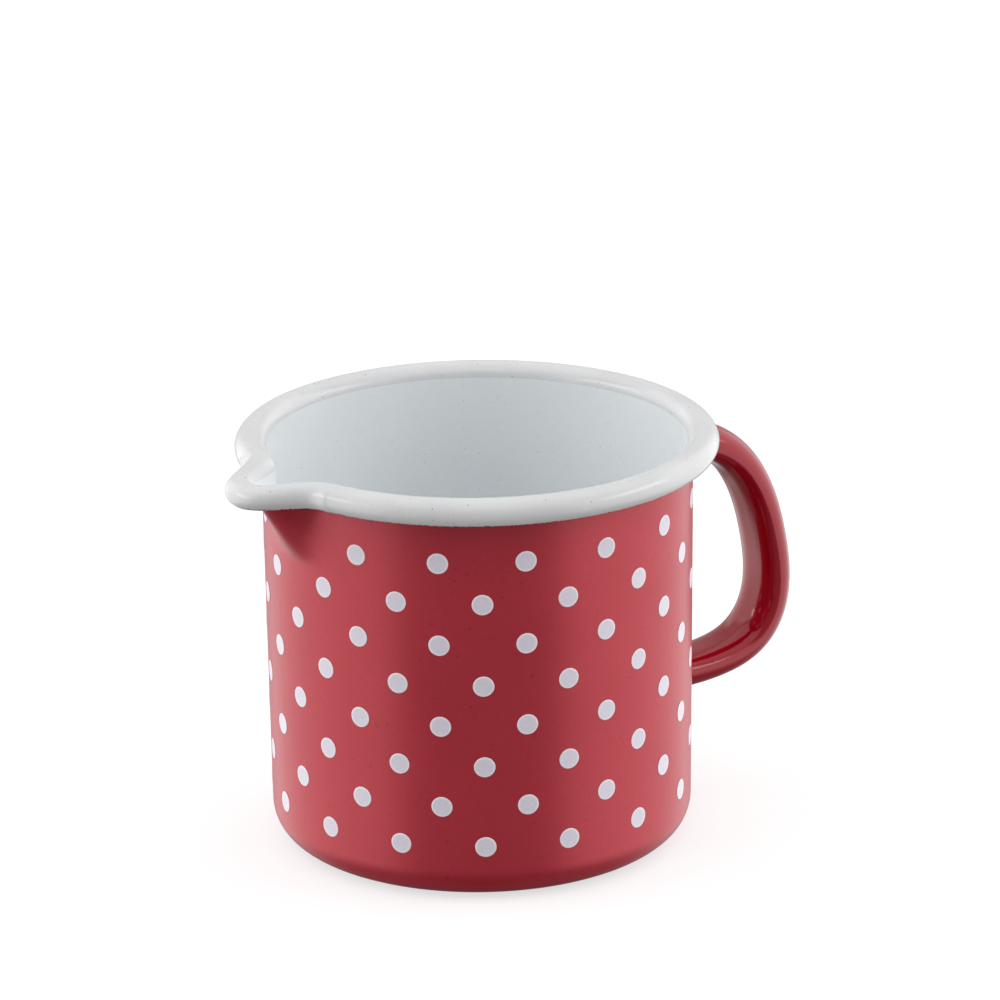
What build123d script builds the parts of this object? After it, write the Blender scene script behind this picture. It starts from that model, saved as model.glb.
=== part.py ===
from build123d import *
import os
from math import atan, cos, degrees, hypot, radians, sin, sqrt, tan

# Enamelled steel pouring pot, about one litre, for melting candle wax.
# Millimetres, +Z up. The origin is the centre of the flat underside.
# The spout points along -X and the handle along +X.

os.makedirs("parts", exist_ok=True)

# ---------------------------------------------------------------- sheet and coats
STEEL = 0.9                 # body sheet
COAT = 0.3                  # one fired enamel coat
WALL = STEEL + 2 * COAT     # whole wall, enamel to enamel
GAP = 0.01                  # hairline kept between a coat and what it lies on

# ---------------------------------------------------------------- drawn body
BASE_RADIUS = 56.0          # outside of the wall, carried down to the base plane
TAPER = 0.0068              # radius gained per millimetre of height
CORNER = 9.1                # outside radius between the wall and the floor

# ---------------------------------------------------------------- rolled rim bead
BEAD_A = 4.15               # half the bead's width
BEAD_B = 3.65               # half the bead's height
BEAD_Z = 107.75             # height of the bead's centre
BEAD_R = BASE_RADIUS + TAPER * BEAD_Z - WALL + BEAD_A
CURL_END = -132.0           # where the rolled edge stops, degrees round the bead
WHITE_END = -74.0           # where the white rim coat stops, degrees round the bead

# ---------------------------------------------------------------- pressed spout
SPOUT_REACH = 12.3          # how far the bead is pushed out at the nose
SPOUT_DROP = 1.15           # how far the bead sinks at the nose
SPOUT_THIN = 0.107          # share of the bead's section lost at the nose
SPOUT_HALF = 18.5           # half the angle the pressing takes up, degrees
KEEL_Z = 86.4               # height where the keel line leaves the wall
KEEL_BLEND = 1.6            # half the height of the soft start of the keel
SECTOR_HALF = 19.0          # half the angle of the lofted sector, degrees
CHORD_X = 20.0              # the lofted sector's floor starts at this distance from the axis
STATIONS = [0, 1, 2, 3, 4, 5.5, 7, 9, 11, 13.5, 16, SECTOR_HALF]

JOIN = 1e-4                 # turned and lofted faces count as touching within this

# ---------------------------------------------------------------- bottom coat
FOOT_ANGLE = -73.8          # the red coat stops here on the corner, degrees

# ---------------------------------------------------------------- polka dots
DOT_RADIUS = 2.75
DOT_THICK = 0.08            # fired decal standing on the red coat
DOT_COLUMNS = 31            # columns round the wall, with a seam behind the handle
DOT_STEP = 11.4             # angle between columns, degrees
DOT_PITCH = 22.1            # height between dots in one column
DOT_ROWS = 4
DOT_LOW = 15.2              # lowest dot of the even columns
DOT_RISE = 0.0095           # the decal climbs this much per degree round the pot

# ---------------------------------------------------------------- handle
HANDLE_W = 8.25             # half width of the enamelled handle
HANDLE_OUT = 6.35           # height of the rounded outer side above the waist
HANDLE_IN = 3.45            # depth of the flatter inner side below the waist
HANDLE_FLAT = 1.8           # half width of the flat on the inner side
HANDLE_WAIST = -1.4         # waist of the section, from its centre line
HANDLE_STEEL = 1.0
HANDLE_ROOT_X = 53.5        # the tube is drawn from here and trimmed to the wall
HANDLE_STRAIGHT_X = 60.5
HANDLE_STATIONS = 31        # sections skinned along the centre line
UPPER_Z = 97.4
LOWER_Z = 29.8
WELD_LEG = 1.9              # reach of the root welds on the plane of the tube's end
SKIRT_LEG = 2.5             # the same for the enamel over them
SEAM_LOW = -3.2             # the inner strip ends here in the section
SEAM_HIGH = -2.6            # the outer shell starts here in the section


# ================================================================ spout formulas
def swell(psi):
    """Share of the full spout displacement at psi degrees from the spout's axis."""
    s = min(abs(psi) / SPOUT_HALF, 1.0)
    return (1 - s * s) ** 4


def bead_centre(psi):
    return BEAD_R + SPOUT_REACH * swell(psi)


def oblique(psi):
    """How much longer a radial cut is than a square cut through the bead."""
    step = 0.05
    slope = (bead_centre(psi + step) - bead_centre(psi - step)) / radians(2 * step)
    return hypot(1.0, slope / bead_centre(psi))


def bead_axes(psi, depth):
    """Half width and half height of the bead's outline, depth under its surface."""
    size = 1 - SPOUT_THIN * sqrt(swell(psi))
    return (BEAD_A * size - depth) * oblique(psi), BEAD_B * size - depth


def bead_point(psi, angle, depth):
    half_w, half_h = bead_axes(psi, depth)
    t = radians(angle)
    z_centre = BEAD_Z - SPOUT_DROP * swell(psi)
    return bead_centre(psi) + half_w * cos(t), z_centre + half_h * sin(t)


def cone(z, depth):
    """Radius of the plain wall at height z, depth under the red surface."""
    return BASE_RADIUS + TAPER * z - depth * sqrt(1 + TAPER**2)


def touch_angle(psi, slope, depth):
    """Angle on the bead's outline where a wall line of this slope is tangent."""
    half_w, half_h = bead_axes(psi, depth)
    return 180 - degrees(atan(slope * half_h / half_w))


def wall_slope(psi):
    """Slope dr/dz of the wall just under the bead."""
    slope = TAPER
    for _ in range(12):
        r, z = bead_point(psi, touch_angle(psi, slope, WALL), WALL)
        slope = (r - cone(KEEL_Z, 0)) / (z - KEEL_Z)
    return slope if swell(psi) > 0 else TAPER


def at(psi, point):
    """A point (radius, height) set on the radial plane psi degrees from the spout."""
    a = radians(180 + psi)
    return Vector(point[0] * cos(a), point[0] * sin(a), point[1])


# ================================================================ section edges
LEAN = atan(TAPER)
CORNER_R = BASE_RADIUS + TAPER * CORNER - CORNER * sqrt(1 + TAPER**2)


def corner_point(depth, angle):
    """A point on the corner's arc; angle is in degrees from straight outward."""
    bend = CORNER - depth
    t = radians(angle)
    return CORNER_R + bend * cos(t), CORNER + bend * sin(t)


def line(psi, a, b):
    return Edge.make_line(at(psi, a), at(psi, b))


def floor_edges(psi, depth, start_r):
    """Floor and corner, from start_r out to the foot of the wall."""
    return [line(psi, (start_r, depth), corner_point(depth, -90)), corner_edge(psi, depth, -90)]


def corner_edge(psi, depth, start):
    end = -degrees(LEAN)
    return Edge.make_three_point_arc(
        at(psi, corner_point(depth, start)),
        at(psi, corner_point(depth, (start + end) / 2)),
        at(psi, corner_point(depth, end)),
    )


def wall_at(psi, z, depth):
    """Radius of the wall's straight upper line at height z."""
    slope = wall_slope(psi)
    from_bead = WALL - depth
    r, z_end = bead_point(psi, touch_angle(psi, slope, from_bead), from_bead)
    return r + (z - z_end) * slope


def wall_edges(psi, depth, top=None):
    """The wall's line from the corner to the bead, or to the height top."""
    slope = wall_slope(psi)
    from_bead = WALL - depth
    end = bead_point(psi, touch_angle(psi, slope, from_bead), from_bead)
    extra = slope - TAPER
    knee = KEEL_Z
    if extra > 1e-5:
        knee = end[1] - (end[0] - cone(end[1], depth)) / extra
    if top is not None:
        end = (wall_at(psi, top, depth), top)
    low, high = knee - KEEL_BLEND, knee + KEEL_BLEND
    start = at(psi, corner_point(depth, -degrees(LEAN)))
    bend_in = at(psi, (cone(low, depth), low))
    bend_mid = at(psi, (cone(knee, depth), knee))
    bend_out = at(psi, (cone(high, depth) + extra * KEEL_BLEND, high))
    return [
        Edge.make_line(start, bend_in),
        Edge.make_bezier(bend_in, bend_mid, bend_out),
        Edge.make_line(bend_out, at(psi, end)),
    ]


def bead_edge(psi, depth, start, stop, count=11):
    """Part of the bead's outline between two angles, evenly parametrised so that
    neighbouring sections share their knots."""
    steps = [i / (count - 1) for i in range(count)]
    points = [at(psi, bead_point(psi, start + (stop - start) * u, depth)) for u in steps]
    half_w, half_h = bead_axes(psi, depth)
    sweep = radians(stop - start)
    tangents = []
    for angle in (start, stop):
        t = radians(angle)
        tangents.append(at(psi, (-half_w * sin(t) * sweep, half_h * cos(t) * sweep)))
    return Edge.make_spline(points, tangents=tangents, parameters=steps, scale=False)


# ================================================================ layer sections
def steel_section(psi, start_r):
    """Floor, corner and wall sheet that ends in a rolled, open curl."""
    slope = wall_slope(psi)
    inside, outside = COAT + STEEL, COAT
    curl_face, curl_core = COAT, COAT + STEEL
    edges = floor_edges(psi, inside, start_r) + wall_edges(psi, inside)
    edges.append(bead_edge(psi, curl_face, touch_angle(psi, slope, curl_face), CURL_END))
    edges.append(line(psi, bead_point(psi, CURL_END, curl_face), bead_point(psi, CURL_END, curl_core)))
    edges.append(bead_edge(psi, curl_core, CURL_END, touch_angle(psi, slope, curl_core)))
    edges += (floor_edges(psi, outside, start_r) + wall_edges(psi, outside))[::-1]
    edges.append(line(psi, (start_r, outside), (start_r, inside)))
    return Wire(edges)


def inner_coat_section(psi, start_r):
    """White coat on the floor and the wall, up to where the bead begins."""
    slope = wall_slope(psi)
    face, back = WALL, COAT + STEEL + GAP
    edges = floor_edges(psi, face, start_r) + wall_edges(psi, face)
    back_touch = touch_angle(psi, slope, WALL - back)
    edges.append(line(psi, bead_point(psi, touch_angle(psi, slope, 0), 0),
                      bead_point(psi, back_touch, WALL - back)))
    edges += (floor_edges(psi, back, start_r) + wall_edges(psi, back))[::-1]
    edges.append(line(psi, (start_r, back), (start_r, face)))
    return Wire(edges)


def rim_coat_section(psi, start_r):
    """White coat round the bead, from the wall's top to the bead's underside."""
    start = touch_angle(psi, wall_slope(psi), 0) - 0.25
    back = COAT - GAP
    return Wire([
        bead_edge(psi, 0, start, WHITE_END),
        line(psi, bead_point(psi, WHITE_END, 0), bead_point(psi, WHITE_END, back)),
        bead_edge(psi, back, WHITE_END, start),
        line(psi, bead_point(psi, start, back), bead_point(psi, start, 0)),
    ])


def meet_angle(psi, depth):
    """Angle where the bead's outline crosses the wall's line under the bead."""
    low, high = -175.0, WHITE_END
    for _ in range(50):
        middle = (low + high) / 2
        r, z = bead_point(psi, middle, 0)
        if r > wall_at(psi, z, depth):
            high = middle
        else:
            low = middle
    return (low + high) / 2


def ground_coat_section(psi, start_r):
    """Bare ground coat under the bead, which also fills the slit behind the curl."""
    start = WHITE_END - 0.25
    back = COAT - GAP
    meet = meet_angle(psi, back)
    z_top = bead_point(psi, meet, 0)[1] + 0.5
    fill_top = (wall_at(psi, z_top, back), z_top)
    return Wire([
        bead_edge(psi, 0, start, meet, count=7),
        line(psi, bead_point(psi, meet, 0), fill_top),
        line(psi, fill_top, bead_point(psi, CURL_END, back)),
        bead_edge(psi, back, CURL_END, start, count=7),
        line(psi, bead_point(psi, start, back), bead_point(psi, start, 0)),
    ])


def outer_coat_section(psi, start_r):
    """Red coat from the foot of the corner up to the bead's underside."""
    back = COAT - GAP
    top_face = bead_point(psi, meet_angle(psi, 0), 0)[1] - 2 * GAP
    top_back = bead_point(psi, meet_angle(psi, back), 0)[1] - 2 * GAP
    edges = [corner_edge(psi, 0, FOOT_ANGLE)] + wall_edges(psi, 0, top=top_face)
    edges.append(line(psi, (wall_at(psi, top_face, 0), top_face), (wall_at(psi, top_back, back), top_back)))
    edges += ([corner_edge(psi, back, FOOT_ANGLE)] + wall_edges(psi, back, top=top_back))[::-1]
    edges.append(line(psi, corner_point(back, FOOT_ANGLE), corner_point(0, FOOT_ANGLE)))
    return Wire(edges)


def vessel_layer(section, floor=None):
    """One layer of the pot: turned where it is plain, lofted where the spout is
    pressed, with a wedge of floor that closes the middle of the sector."""
    psis = [-p for p in STATIONS[:0:-1]] + list(STATIONS)
    pressed = Solid.make_loft([section(p, CHORD_X / cos(radians(p))) for p in psis])
    plain = Solid.revolve(Face(section(SECTOR_HALF, 0)), 360 - 2 * SECTOR_HALF, Axis.Z)
    layer = plain.fuse(pressed, tol=JOIN)
    if floor is not None:
        low, high = floor
        side = CHORD_X * tan(radians(SECTOR_HALF))
        corners = [(0, 0, low), (-CHORD_X, -side, low), (-CHORD_X, side, low)]
        wedge = Face(Wire.make_polygon([Vector(*c) for c in corners], close=True))
        layer = layer.fuse(Solid.extrude(wedge, Vector(0, 0, high - low)), tol=JOIN)
    return layer


# ================================================================ body and its coats
steel_body = vessel_layer(steel_section, floor=(COAT, COAT + STEEL))
inner_enamel = vessel_layer(inner_coat_section, floor=(COAT + STEEL + GAP, WALL))
rim_enamel = vessel_layer(rim_coat_section)
rim_ground_coat = vessel_layer(ground_coat_section)
outer_enamel = vessel_layer(outer_coat_section)

foot_end = FOOT_ANGLE - 0.15
foot_back = COAT - GAP
foot_face = Face(Wire([
    line(0, (0, 0), corner_point(0, -90)),
    Edge.make_three_point_arc(
        *[at(0, corner_point(0, a)) for a in (-90, (foot_end - 90) / 2, foot_end)]),
    line(0, corner_point(0, foot_end), corner_point(foot_back, foot_end)),
    Edge.make_three_point_arc(
        *[at(0, corner_point(foot_back, a)) for a in (foot_end, (foot_end - 90) / 2, -90)]),
    line(0, corner_point(foot_back, -90), (0, foot_back)),
    line(0, (0, foot_back), (0, 0)),
]))
base_ground_coat = Solid.revolve(foot_face, 360, Axis.Z)


# ================================================================ handle
def handle_path():
    """Centre line: a short straight root, a free curve and the lower root."""
    bends = [(69.8, 95.4), (81.6, 89.0), (89.9, 77.8), (94.8, 62.6), (95.4, 44.4), (84.2, 31.8)]
    points = [(HANDLE_ROOT_X, UPPER_Z), (HANDLE_STRAIGHT_X, UPPER_Z)] + bends
    points += [(HANDLE_STRAIGHT_X, LOWER_Z), (HANDLE_ROOT_X, LOWER_Z)]
    return Edge.make_spline(
        [Vector(r, 0, z) for r, z in points],
        tangents=[Vector(1, 0, 0), Vector(-1, 0, 0)],
    )


def handle_plane(x, z, dx, dz):
    """Section plane: local y points to the handle's rounded outer side."""
    return Plane(origin=(x, 0, z), x_dir=(0, 1, 0), z_dir=(dx, 0, dz))


def handle_wire(plane, inset):
    """Section of the handle, inset from the enamel's face."""
    half = HANDLE_W - inset
    out = HANDLE_OUT - inset
    inn = HANDLE_IN - inset
    corner = half - HANDLE_FLAT
    waist = HANDLE_WAIST
    middle = Plane(origin=(0, waist, 0))
    left_plane = Plane(origin=(-HANDLE_FLAT, waist, 0))
    right_plane = Plane(origin=(HANDLE_FLAT, waist, 0))
    crown = Edge.make_ellipse(half, out, middle, 0, 180)
    left = Edge.make_ellipse(corner, inn, left_plane, 180, 270)
    right = Edge.make_ellipse(corner, inn, right_plane, 270, 360)
    flat = Edge.make_line((-HANDLE_FLAT, waist - inn), (HANDLE_FLAT, waist - inn))
    return plane.from_local_coords(Wire([crown, left, flat, right]))


def band_wire(plane, low, high):
    corners = [(-12, low), (12, low), (12, high), (-12, high)]
    return plane.from_local_coords(Wire.make_polygon([Vector(*c) for c in corners], close=True))


path = handle_path()


def follow(wire_at):
    """Skin a closed section along the handle's centre line."""
    wires = []
    for i in range(HANDLE_STATIONS):
        u = i / (HANDLE_STATIONS - 1)
        p, t = path @ u, path % u
        wires.append(wire_at(handle_plane(p.X, p.Z, t.X, t.Z)))
    return Solid.make_loft(wires)


def tube(inset):
    return follow(lambda plane: handle_wire(plane, inset))


def slab(low, high):
    """A wide flat band that follows the handle between two heights of its section."""
    return follow(lambda plane: band_wire(plane, low, high))


def frustum(depth):
    """Everything inside the plain wall at one depth, for trimming the handle."""
    low, high = -5.0, 120.0
    corners = [(0, low), (cone(low, depth), low), (cone(high, depth), high), (0, high)]
    face = Face(Wire.make_polygon([Vector(r, 0, z) for r, z in corners], close=True))
    return Solid.revolve(face, 360, Axis.Z)


def root_collar(z, away, near_inset, far_inset, x_far):
    """A skirt round the handle's root that widens toward the wall."""
    near = handle_wire(handle_plane(HANDLE_ROOT_X, z, away, 0), near_inset)
    far = handle_wire(handle_plane(x_far, z, away, 0), far_inset)
    return Solid.make_loft([near, far], ruled=True)


steel_outside = frustum(COAT)
red_outside = frustum(0)
tube_face = tube(0)
tube_steel = tube(COAT)
tube_hollow = tube(COAT + HANDLE_STEEL)

pipe = tube_steel - tube_hollow - steel_outside
finger_side = slab(-9.0, SEAM_HIGH)
below_seam = slab(-9.0, SEAM_LOW)
handle_outer_shell = pipe - finger_side
handle_inner_strip = (pipe & finger_side) & below_seam
handle_seam_welds = (pipe & finger_side) - below_seam

weld_rings = []
skirts = []
for z, away in ((UPPER_Z, 1), (LOWER_Z, -1)):
    ring = root_collar(z, away, COAT - WELD_LEG, COAT + 0.3, 58.6)
    weld_rings.append(ring - tube_steel - steel_outside)
    skirts.append(root_collar(z, away, -SKIRT_LEG, 0.3, 59.6))
handle_weld_upper, handle_weld_lower = weld_rings

handle_enamel = tube_face.fuse(*skirts) - tube_steel - red_outside
for ring in weld_rings:
    handle_enamel = handle_enamel - ring
    outer_enamel = outer_enamel - ring
outer_enamel = outer_enamel - tube_steel


# ================================================================ polka dots
def dot_places():
    """Angle from +X and height of every dot. The spout's keel takes the place of one
    and the handle's lower root takes the place of two."""
    half = DOT_COLUMNS // 2
    for column in range(-half, half + 1):
        raised = column % 2 == 0
        for row in range(DOT_ROWS):
            angle = 180 + DOT_STEP * column
            z = DOT_LOW + DOT_PITCH * (row + (0.5 if raised else 0)) + DOT_RISE * DOT_STEP * column
            on_keel = column == 0 and row == DOT_ROWS - 1
            on_handle_root = abs(column) == half and row == 1
            if on_keel or on_handle_root:
                continue
            yield angle, z


low, high = 5.0, 102.0
skin_corners = [
    (cone(low, -GAP), low), (cone(low, -GAP - DOT_THICK), low),
    (cone(high, -GAP - DOT_THICK), high), (cone(high, -GAP), high),
]
skin_face = Face(Wire.make_polygon([Vector(r, 0, z) for r, z in skin_corners], close=True))
decal_skin = Solid.revolve(skin_face, 360, Axis.Z)
dots = []
for angle, z in dot_places():
    plane = Plane(origin=(0, 0, z), z_dir=(cos(radians(angle)), sin(radians(angle)), 0))
    punch = plane.location * Pos(0, 0, 50) * Cylinder(
        DOT_RADIUS, 12, align=(Align.CENTER, Align.CENTER, Align.MIN))
    dots += (decal_skin & punch).solids()

# ================================================================ export
nodes = {
    "steel_body": steel_body,
    "inner_enamel": inner_enamel,
    "rim_enamel": rim_enamel,
    "rim_ground_coat": rim_ground_coat,
    "outer_enamel": outer_enamel,
    "base_ground_coat": base_ground_coat,
    "polka_dots": Compound(children=dots),
    "handle_outer_shell": handle_outer_shell,
    "handle_inner_strip": handle_inner_strip,
    "handle_seam_welds": handle_seam_welds,
    "handle_weld_upper": handle_weld_upper,
    "handle_weld_lower": handle_weld_lower,
    "handle_enamel": handle_enamel,
}
for name, shape in nodes.items():
    solids = shape.solids()
    whole = solids[0] if len(solids) == 1 else Compound(children=list(solids))
    export_step(whole, f"parts/{name}.step")
    print(name, len(solids), "solid(s)", round(sum(s.volume for s in solids), 2), "mm3")
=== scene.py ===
import math

import bmesh
import bpy
import numpy as np
from mathutils import Matrix, Vector


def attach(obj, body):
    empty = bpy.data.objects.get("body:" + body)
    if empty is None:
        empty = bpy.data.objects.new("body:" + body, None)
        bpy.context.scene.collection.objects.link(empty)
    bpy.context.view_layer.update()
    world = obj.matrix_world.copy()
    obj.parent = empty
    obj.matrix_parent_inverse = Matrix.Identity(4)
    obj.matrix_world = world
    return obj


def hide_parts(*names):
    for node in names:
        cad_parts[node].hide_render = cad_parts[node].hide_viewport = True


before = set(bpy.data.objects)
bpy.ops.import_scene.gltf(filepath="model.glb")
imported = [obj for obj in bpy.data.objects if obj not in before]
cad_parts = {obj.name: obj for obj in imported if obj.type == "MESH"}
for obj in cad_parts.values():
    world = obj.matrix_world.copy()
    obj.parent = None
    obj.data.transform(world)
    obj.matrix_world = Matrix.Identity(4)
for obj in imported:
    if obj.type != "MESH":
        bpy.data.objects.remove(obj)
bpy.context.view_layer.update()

# Enamelled pouring pot with a beaded rim, a pressed spout and a hollow handle.
# Metres, +Z up, the spout along -X and the handle along +X, as in the frame.

MM = 0.001

# ------------------------------------------------------------------ body shape, as in the CAD
WALL_RADIUS = 56.0 * MM        # outside of the wall, carried down to the base plane
TAPER = 0.0068                 # radius gained per metre of height

# ------------------------------------------------------------------ camera
CAMERA_PLACE = Vector((-0.6726, -1.0047, 0.4974))
CAMERA_LENS = 174.4            # millimetres
CAMERA_SENSOR = 36.0           # millimetres
CAMERA_CLIP = (0.05, 50.0)
CAMERA_TURN = -33.8            # degrees from looking along +Y
CAMERA_YAW = -0.00484          # radians
CAMERA_PITCH = 0.32426
CAMERA_ROLL = -0.01285


def camera_axes():
    """Right, up and back of the camera in the frame."""
    yaw = Matrix.Rotation(math.radians(CAMERA_TURN) + CAMERA_YAW, 3, "Z")
    right = yaw @ Vector((1, 0, 0))
    up = yaw @ Vector((0, math.sin(CAMERA_PITCH), math.cos(CAMERA_PITCH)))
    c, s = math.cos(CAMERA_ROLL), math.sin(CAMERA_ROLL)
    right, up = right * c + up * s, up * c - right * s
    return right, up, right.cross(up)


def add_camera():
    data = bpy.data.cameras.new("camera")
    data.lens = CAMERA_LENS
    data.sensor_width = CAMERA_SENSOR
    data.clip_start, data.clip_end = CAMERA_CLIP
    camera = new_object("camera", data)
    right, up, back = camera_axes()
    turn = Matrix((right, up, back)).transposed()
    camera.matrix_world = Matrix.Translation(CAMERA_PLACE) @ turn.to_4x4()
    bpy.context.scene.camera = camera


# ------------------------------------------------------------------ node helpers
class Tree:
    """A node tree with short calls for the nodes the materials share."""

    def __init__(self, tree):
        self.tree = tree
        self.tree.nodes.clear()

    def node(self, kind, **settings):
        made = self.tree.nodes.new(kind)
        for name, value in settings.items():
            setattr(made, name, value)
        return made

    def put(self, socket, value):
        if isinstance(value, bpy.types.NodeSocket):
            self.tree.links.new(value, socket)
        elif hasattr(socket.default_value, "__len__") and len(socket.default_value) == 4:
            socket.default_value = (*value, 1.0)[:4]
        else:
            socket.default_value = value

    def math(self, operation, a, b=0.0):
        made = self.node("ShaderNodeMath", operation=operation)
        self.put(made.inputs[0], a)
        self.put(made.inputs[1], b)
        return made.outputs[0]

    def add(self, a, b):
        return self.math("ADD", a, b)

    def times(self, a, b):
        return self.math("MULTIPLY", a, b)

    def rest(self, share):
        """What is left of 1."""
        return self.math("SUBTRACT", 1.0, share)

    def smooth(self, value, low, high):
        """0 below low, 1 above high, smooth between."""
        made = self.node("ShaderNodeMapRange", interpolation_type="SMOOTHSTEP")
        for name, v in (("Value", value), ("From Min", low), ("From Max", high)):
            self.put(made.inputs[name], v)
        return made.outputs[0]

    def span(self, value, low, high, to_low, to_high):
        """The range low..high moved to the range to_low..to_high, and held there."""
        made = self.node("ShaderNodeMapRange")
        names = ("Value", "From Min", "From Max", "To Min", "To Max")
        for name, v in zip(names, (value, low, high, to_low, to_high)):
            self.put(made.inputs[name], v)
        return made.outputs[0]

    def noise(self, where, scale, detail=2.0, rough=0.5):
        made = self.node("ShaderNodeTexNoise")
        self.put(made.inputs["Vector"], where)
        self.put(made.inputs["Scale"], scale)
        self.put(made.inputs["Detail"], detail)
        self.put(made.inputs["Roughness"], rough)
        return made.outputs["Fac"]

    def even(self, noise, spread=0.15):
        """A noise stretched to fill 0..1."""
        return self.span(noise, 0.5 - spread, 0.5 + spread, 0.0, 1.0)

    def mix(self, share, a, b):
        made = self.node("ShaderNodeMix", data_type="RGBA")
        self.put(made.inputs["Factor"], share)
        self.put(made.inputs["A"], a)
        self.put(made.inputs["B"], b)
        return made.outputs["Result"]

    def bump(self, height, distance):
        made = self.node("ShaderNodeBump")
        self.put(made.inputs["Height"], height)
        self.put(made.inputs["Distance"], distance)
        self.put(made.inputs["Strength"], 1.0)
        return made.outputs["Normal"]

    def millimetres(self):
        """Object position in millimetres."""
        place = self.node("ShaderNodeTexCoord").outputs["Object"]
        scaled = self.node("ShaderNodeVectorMath", operation="SCALE")
        self.put(scaled.inputs[0], place)
        self.put(scaled.inputs["Scale"], 1 / MM)
        return scaled.outputs[0]

    def split(self, vector):
        """The three parts of a vector or a colour."""
        made = self.node("ShaderNodeSeparateXYZ")
        self.put(made.inputs[0], vector)
        return made.outputs

    def seen(self):
        """1 for what the camera sees itself, 0 for bounced light."""
        return self.node("ShaderNodeLightPath").outputs["Is Camera Ray"]


def new_object(name, mesh):
    made = bpy.data.objects.new(name, mesh)
    bpy.context.scene.collection.objects.link(made)
    return made


def new_material(name):
    material = bpy.data.materials.new(name)
    material.use_nodes = True
    tree = Tree(material.node_tree)
    shader = tree.node("ShaderNodeBsdfPrincipled")
    output = tree.node("ShaderNodeOutputMaterial")
    tree.tree.links.new(shader.outputs[0], output.inputs[0])
    return material, tree, shader


def finish_shader(tree, shader, color, roughness, normal=None, **extra):
    tree.put(shader.inputs["Base Color"], color)
    tree.put(shader.inputs["Roughness"], roughness)
    if normal is not None:
        tree.put(shader.inputs["Normal"], normal)
    for name, value in extra.items():
        tree.put(shader.inputs[name.replace("_", " ")], value)


def darker(color, share):
    return tuple(c * share for c in color)


# ------------------------------------------------------------------ materials
# Noise and cell scales are counted per millimetre; a bump's height times its distance is
# how far it stands out.
ENAMEL_IOR = 1.52
SPECK_RARITY = 0.72            # share of the cells that hold no speck
SOOT = (0.012, 0.004, 0.006)   # the ground coat where it shows through the red
HEM_AND_SHADE = (0.035, 0.03, 0.035)     # the same along the white bead's underside, mixed with painted shade there


def specks(tree, where, scale, size):
    """Sparse spots, up to size cells in radius: 1 in a spot, 0 elsewhere."""
    cell = tree.node("ShaderNodeTexVoronoi", feature="F1")
    tree.put(cell.inputs["Vector"], where)
    tree.put(cell.inputs["Scale"], scale)
    chance, share, _ = tree.split(cell.outputs["Color"])
    near = tree.math("LESS_THAN", cell.outputs["Distance"], tree.times(share, size))
    return tree.times(near, tree.math("GREATER_THAN", chance, SPECK_RARITY))


def red_enamel(name, deep, light, rough, peel, peel_size, pearl, foot=None):
    """Fired red enamel: peel is its orange peel's height, and pearl its share of red gloss.
    Below the height foot, in millimetres, the dark ground coat shows through."""
    material, t, shader = new_material(name)
    where = t.millimetres()
    grain = t.noise(where, peel_size, detail=3, rough=0.6)
    cloud = t.noise(where, 0.045, detail=2)
    fine = t.noise(where, 3.4, detail=1)
    sand = t.noise(where, 2.1, detail=2, rough=0.7)

    tone = t.add(t.times(grain, 0.45), t.times(cloud, 0.55))
    color = t.mix(t.even(tone, 0.2), deep, light)
    dust = specks(t, where, 0.42, 0.22)
    color = t.mix(t.times(dust, 0.35), color, darker(deep, 0.35))
    color = t.mix(t.span(sand, 0.35, 0.65, 0.0, 0.16), color, darker(deep, 0.45))
    if foot is not None:
        ragged = t.times(t.noise(where, 0.8, detail=3), -0.9)
        ragged = t.add(t.split(where)[2], ragged)
        bare = t.rest(t.smooth(ragged, foot - 0.45, foot))
        color = t.mix(bare, color, SOOT)

    roughness = t.span(fine, 0.3, 0.7, rough - 0.03, rough + 0.04)
    height = t.add(t.times(grain, peel), t.times(cloud, 4 * peel))
    normal = t.bump(height, MM)
    finish_shader(t, shader, color, roughness, normal, IOR=ENAMEL_IOR, Metallic=pearl)
    return material


def white_enamel(name, pale, shade, rough, speck_share, speck_scale, wave, shaded_hem=False):
    """Fired white enamel with specks; wave is the height of its unevenness. A shaded hem is a
    ragged dark edge on its downward side: partly the ground coat showing, partly painted
    shade on the bead's underside."""
    material, t, shader = new_material(name)
    where = t.millimetres()
    cloud = t.noise(where, 0.06, detail=3)
    grain = t.noise(where, 1.1, detail=2)
    sand = t.noise(where, 2.4, detail=2, rough=0.7)

    color = t.mix(t.even(cloud), pale, shade)
    color = t.mix(t.span(sand, 0.35, 0.65, 0.0, 0.07), color, (0.30, 0.31, 0.32))
    spots = specks(t, where, speck_scale, 0.19)
    faint = specks(t, where, speck_scale * 1.9, 0.26)
    color = t.mix(t.times(spots, speck_share), color, (0.10, 0.10, 0.11))
    color = t.mix(t.times(faint, speck_share * 0.22), color, (0.16, 0.17, 0.19))
    # painted shade: faces that turn downwards take the dark hem colour, partly real ground
    # coat and partly shade painted under the bead
    if shaded_hem:
        geometry = t.node("ShaderNodeNewGeometry")
        downward_shade = t.times(t.split(geometry.outputs["Normal"])[2], -1.0)
        ragged = t.noise(where, 1.3, detail=3, rough=0.8)
        ragged = t.add(downward_shade, t.span(ragged, 0.3, 0.7, -0.13, 0.13))
        color = t.mix(t.smooth(ragged, 0.80, 0.87), color, HEM_AND_SHADE)

    roughness = t.span(grain, 0.3, 0.7, rough - 0.02, rough + 0.04)
    height = t.add(t.times(grain, wave), t.times(cloud, 6 * wave))
    finish_shader(t, shader, color, roughness, t.bump(height, MM), IOR=ENAMEL_IOR)
    return material


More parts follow.
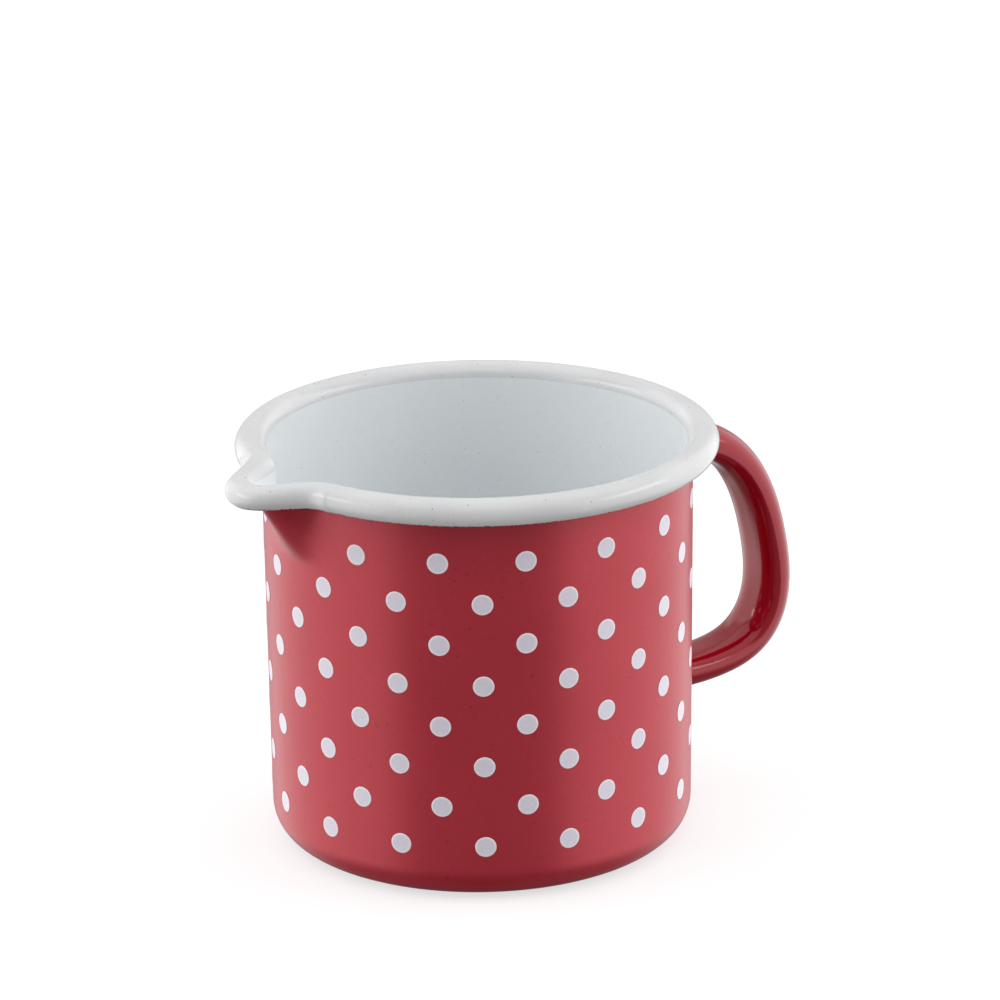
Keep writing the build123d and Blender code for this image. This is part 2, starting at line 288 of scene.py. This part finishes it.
def dark_enamel(name):
    """Ground coat: blue-black glass with pale flecks."""
    material, t, shader = new_material(name)
    where = t.millimetres()
    cloud = t.noise(where, 0.5, detail=4)
    color = t.mix(t.even(cloud), (0.012, 0.010, 0.014), (0.05, 0.045, 0.055))
    fleck = specks(t, where, 0.9, 0.3)
    color = t.mix(t.times(fleck, 0.5), color, (0.3, 0.29, 0.3))
    roughness = t.span(cloud, 0.3, 0.7, 0.22, 0.4)
    finish_shader(t, shader, color, roughness, t.bump(cloud, 0.1 * MM), IOR=1.5)
    return material


def bare_steel(name):
    """Pickled sheet under the enamel, out of sight in the finished pot."""
    material, t, shader = new_material(name)
    cloud = t.noise(t.millimetres(), 0.7, detail=4)
    color = t.mix(cloud, (0.20, 0.20, 0.21), (0.42, 0.42, 0.43))
    roughness = t.span(cloud, 0.3, 0.7, 0.35, 0.55)
    finish_shader(t, shader, color, roughness, t.bump(cloud, 0.1 * MM), Metallic=1.0)
    return material


def dot_enamel(name):
    """Lilac white, lighter towards the dot's edge, from the mesh's edge attribute."""
    material, t, shader = new_material(name)
    edge = t.node("ShaderNodeAttribute", attribute_name="edge").outputs["Fac"]
    grain = t.noise(t.millimetres(), 1.6, detail=3)
    inner = t.mix(t.even(grain, 0.2), (0.76, 0.71, 0.80), (0.82, 0.77, 0.86))
    color = t.mix(t.smooth(edge, 0.72, 0.93), inner, (0.92, 0.87, 0.93))
    finish_shader(t, shader, color, 0.36, t.bump(grain, 0.02 * MM), IOR=1.5)
    return material


materials = {
    "outer_enamel": red_enamel(
        "red_outside", deep=(0.47, 0.024, 0.041), light=(0.53, 0.031, 0.051),
        rough=0.33, peel=0.016, peel_size=0.9, pearl=0.26, foot=0.9),
    "handle_enamel": red_enamel(
        "red_handle", deep=(0.34, 0.001, 0.012), light=(0.38, 0.002, 0.016),
        rough=0.08, peel=0.004, peel_size=0.25, pearl=0.08),
    "inner_enamel": white_enamel(
        "white_inside", pale=(0.88, 0.912, 0.925), shade=(0.865, 0.90, 0.915),
        rough=0.20, speck_share=0.25, speck_scale=0.9, wave=0.010),
    # the rim's hem: painted shade mixed with ground coat on the bead's underside
    "rim_enamel": white_enamel(
        "white_rim", pale=(0.75, 0.75, 0.755), shade=(0.71, 0.71, 0.72),
        rough=0.10, speck_share=0.55, speck_scale=0.8, wave=0.014, shaded_hem=True),
    "rim_ground_coat": dark_enamel("ground_coat_rim"),
    "base_ground_coat": dark_enamel("ground_coat_base"),
    "polka_dots": dot_enamel("dot_decal"),
}
steel = bare_steel("hidden_steel")
for name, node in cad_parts.items():
    node.data.materials.clear()
    node.data.materials.append(materials.get(name, steel))


# ------------------------------------------------------------------ enamel skins
WELD = 0.5e-6                  # vertices closer than this are one
CREASE = math.radians(38)      # sharper edges stay sharp


def add_skin(node, piece):
    """A coat's mesh with its faces joined, so that the shading runs over them."""
    mesh = bpy.data.meshes.new(piece)
    made = bmesh.new()
    made.from_mesh(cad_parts[node].data)
    bmesh.ops.remove_doubles(made, verts=made.verts, dist=WELD)
    bmesh.ops.recalc_face_normals(made, faces=made.faces)
    for face in made.faces:
        face.smooth = True
    for edge in made.edges:
        if len(edge.link_faces) == 2:
            edge.smooth = edge.calc_face_angle(0.0) < CREASE
    made.to_mesh(mesh)
    made.free()
    if "custom_normal" in mesh.attributes:
        mesh.attributes.remove(mesh.attributes["custom_normal"])
    mesh.materials.clear()
    mesh.materials.append(materials[node])
    skin = new_object(piece, mesh)
    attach(skin, "root")
    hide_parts(node)


for node, piece, slot in (
    ("outer_enamel", "red_body_skin", "red_outside"),
    ("handle_enamel", "red_handle_skin", "red_handle"),
    ("inner_enamel", "white_inner_skin", "white_inside"),
    ("rim_enamel", "white_rim_skin", "white_rim"),
    ("rim_ground_coat", "dark_rim_hem", "ground_coat_rim"),
    ("base_ground_coat", "dark_foot", "ground_coat_base"),
):
    add_skin(node, piece)


# ------------------------------------------------------------------ dots
DOT_RADIUS = 2.75 * MM
DOT_SIDES = 48
DOT_REST = 0.012 * MM          # lift of the whole dot off the red coat
DOT_BACK = 0.011 * MM          # lift of its back
# Share of the radius and height in millimetres, from the middle to the edge.
DOT_RINGS = (
    (0.0, 0.060), (0.35, 0.060), (0.62, 0.064), (0.80, 0.074),
    (0.92, 0.078), (0.975, 0.062), (1.0, 0.018),
)


def dot_centres():
    """Middle of every dot of the CAD node, from its separate pieces."""
    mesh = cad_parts["polka_dots"].data
    points = np.array([v.co for v in mesh.vertices], float)
    parent = list(range(len(points)))

    def root(i):
        while parent[i] != i:
            parent[i] = parent[parent[i]]
            i = parent[i]
        return i

    same = {}
    for i, p in enumerate(np.round(points, 7)):
        first = same.setdefault(tuple(p), i)
        parent[root(i)] = root(first)
    for e in mesh.edges:
        a, b = root(e.vertices[0]), root(e.vertices[1])
        parent[a] = b
    groups = {}
    for i in range(len(points)):
        groups.setdefault(root(i), []).append(i)
    middles = []
    for members in groups.values():
        p = points[members]
        middles.append((p.min(axis=0) + p.max(axis=0)) / 2)
    return sorted(middles, key=lambda m: (round(m[2], 5), round(math.atan2(m[1], m[0]), 5)))


def wall_radius(height, lift):
    return WALL_RADIUS + TAPER * height + lift


def dot_points(middle):
    """One point in the middle, then one ring of points after another."""
    around = math.atan2(middle[1], middle[0])
    out = Vector((math.cos(around), math.sin(around), 0))
    side = Vector((-out.y, out.x, 0))
    for share, lift in DOT_RINGS:
        for k in range(DOT_SIDES if share else 1):
            turn = 2 * math.pi * k / DOT_SIDES
            across = DOT_RADIUS * share * math.cos(turn)
            height = middle[2] + DOT_RADIUS * share * math.sin(turn)
            wall = wall_radius(height, lift * MM + DOT_REST)
            reach = math.sqrt(wall * wall - across * across)
            yield out * reach + side * across + Vector((0, 0, height)), share


def ring_faces(a, b):
    """Faces between the ring that starts at point a and the one that starts at b."""
    for k in range(DOT_SIDES):
        n = (k + 1) % DOT_SIDES
        yield a + k, b + k, b + n, a + n


def add_dots():
    """Thin fired discs that follow the wall, with a slightly raised border."""
    points, faces, edge = [], [], []
    for middle in dot_centres():
        first = len(points)
        for point, share in dot_points(middle):
            points.append(point)
            edge.append(share)
        for k in range(DOT_SIDES):
            faces.append((first, first + 1 + k, first + 1 + (k + 1) % DOT_SIDES))
        last = len(points) - DOT_SIDES
        for start in range(first + 1, last, DOT_SIDES):
            faces.extend(ring_faces(start, start + DOT_SIDES))
        # the back closes the disc against the red coat
        back = len(points)
        for p in points[last:back]:
            flat = Vector((p.x, p.y, 0)).normalized() * wall_radius(p.z, DOT_BACK)
            points.append(Vector((flat.x, flat.y, p.z)))
            edge.append(1.0)
        faces.extend(ring_faces(last, back))
        faces.append(tuple(back + k for k in range(DOT_SIDES - 1, -1, -1)))
    mesh = bpy.data.meshes.new("dot_decals")
    mesh.from_pydata([tuple(p) for p in points], [], faces)
    mesh.validate()
    attribute = mesh.attributes.new("edge", "FLOAT", "POINT")
    attribute.data.foreach_set("value", np.array(edge, np.float32))
    mesh.shade_smooth()
    mesh.materials.append(materials["polka_dots"])
    dots = new_object("dot_decals", mesh)
    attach(dots, "root")
    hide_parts("polka_dots")


add_dots()


# ------------------------------------------------------------------ floor and light
FLOOR_HALF = 3.0
FLOOR_DROP = 0.2 * MM          # keeps the floor clear of the underside
FLOOR_GLOW = 0.66              # what makes the floor pale to the camera

# How bright each part of the studio is, and the two ends of each soft edge. Bearings are
# cosines of the angle from the camera's side; heights are sines of the elevation.
FRONT_GLOW = 0.33              # the dim wall on the camera's side
FRONT_EDGE = (0.60, 0.80)
WALL_GLOW = 0.56               # the pale walls
PANEL_GLOW = 0.86              # panels over them, except right behind the pot
PANEL_BACK = (-0.97, -0.85)
PANEL_TOP = (0.60, 0.68)
LAMP_GLOW = 2.4                # soft boxes on both sides, above the pot
LAMP_HEIGHT = ((0.30, 0.36), (0.52, 0.58))
LAMP_BEARING = ((-0.30, -0.20), (0.38, 0.46))
TOP_GLOW = 1.02                # the ceiling
TOP_EDGE = (0.68, 0.76)
GROUND_GLOW = 0.12             # share left straight below the pot
GROUND_EDGE = (-0.80, -0.42)


def add_floor():
    """A pale plane that the camera sees, and that the pot's own light passes by."""
    s = FLOOR_HALF
    corners = [(x, y, -FLOOR_DROP) for x, y in ((-s, -s), (s, -s), (s, s), (-s, s))]
    mesh = bpy.data.meshes.new("floor")
    mesh.from_pydata(corners, [], [(0, 1, 2, 3)])
    floor = new_object("floor", mesh)
    material, t, shader = new_material("pale_floor")
    cloud = t.noise(t.millimetres(), 0.01, detail=2)
    color = t.mix(cloud, (0.40, 0.40, 0.40), (0.44, 0.44, 0.44))
    finish_shader(t, shader, color, 0.9)
    t.put(shader.inputs["Emission Color"], (1.0, 1.0, 1.0))
    t.put(shader.inputs["Emission Strength"], t.times(t.seen(), FLOOR_GLOW))
    mesh.materials.append(material)
    for ray in ("diffuse", "glossy", "transmission", "shadow"):
        setattr(floor, "visible_" + ray, False)


def between(t, value, rise, fall):
    """1 between the two edges, 0 outside them."""
    return t.times(t.smooth(value, *rise), t.rest(t.smooth(value, *fall)))


def add_world():
    """White for the camera; a soft studio, dim on the camera's side, for the object."""
    world = bpy.data.worlds.new("studio")
    bpy.context.scene.world = world
    world.use_nodes = True
    t = Tree(world.node_tree)
    x, y, z = t.split(t.node("ShaderNodeTexCoord").outputs["Generated"])
    level = t.math("SQRT", t.add(t.times(x, x), t.times(y, y)))
    level = t.math("MAXIMUM", level, 0.001)
    ahead = Vector((CAMERA_PLACE.x, CAMERA_PLACE.y)).normalized()
    bearing = t.math("DIVIDE", t.add(t.times(x, ahead.x), t.times(y, ahead.y)), level)

    panel = t.times(t.smooth(bearing, *PANEL_BACK), t.rest(t.smooth(z, *PANEL_TOP)))
    lamp = t.times(between(t, z, *LAMP_HEIGHT), between(t, bearing, *LAMP_BEARING))
    wall = t.add(t.times(panel, PANEL_GLOW), WALL_GLOW)
    wall = t.add(wall, t.times(lamp, LAMP_GLOW))
    front = t.smooth(bearing, *FRONT_EDGE)
    wall = t.add(t.times(wall, t.rest(front)), t.times(front, FRONT_GLOW))
    top = t.smooth(z, *TOP_EDGE)
    glow = t.add(t.times(wall, t.rest(top)), t.times(top, TOP_GLOW))
    ground = t.smooth(z, *GROUND_EDGE)
    glow = t.times(glow, t.span(ground, 0.0, 1.0, GROUND_GLOW, 1.0))
    seen = t.seen()
    glow = t.add(t.times(glow, t.rest(seen)), seen)

    background = t.node("ShaderNodeBackground")
    t.put(background.inputs["Color"], (1.0, 1.0, 1.0))
    t.put(background.inputs["Strength"], glow)
    output = t.node("ShaderNodeOutputWorld")
    t.tree.links.new(background.outputs[0], output.inputs[0])


add_floor()
add_world()
add_camera()
bpy.context.scene.view_settings.view_transform = "Standard"
bpy.context.scene.view_settings.look = "None"
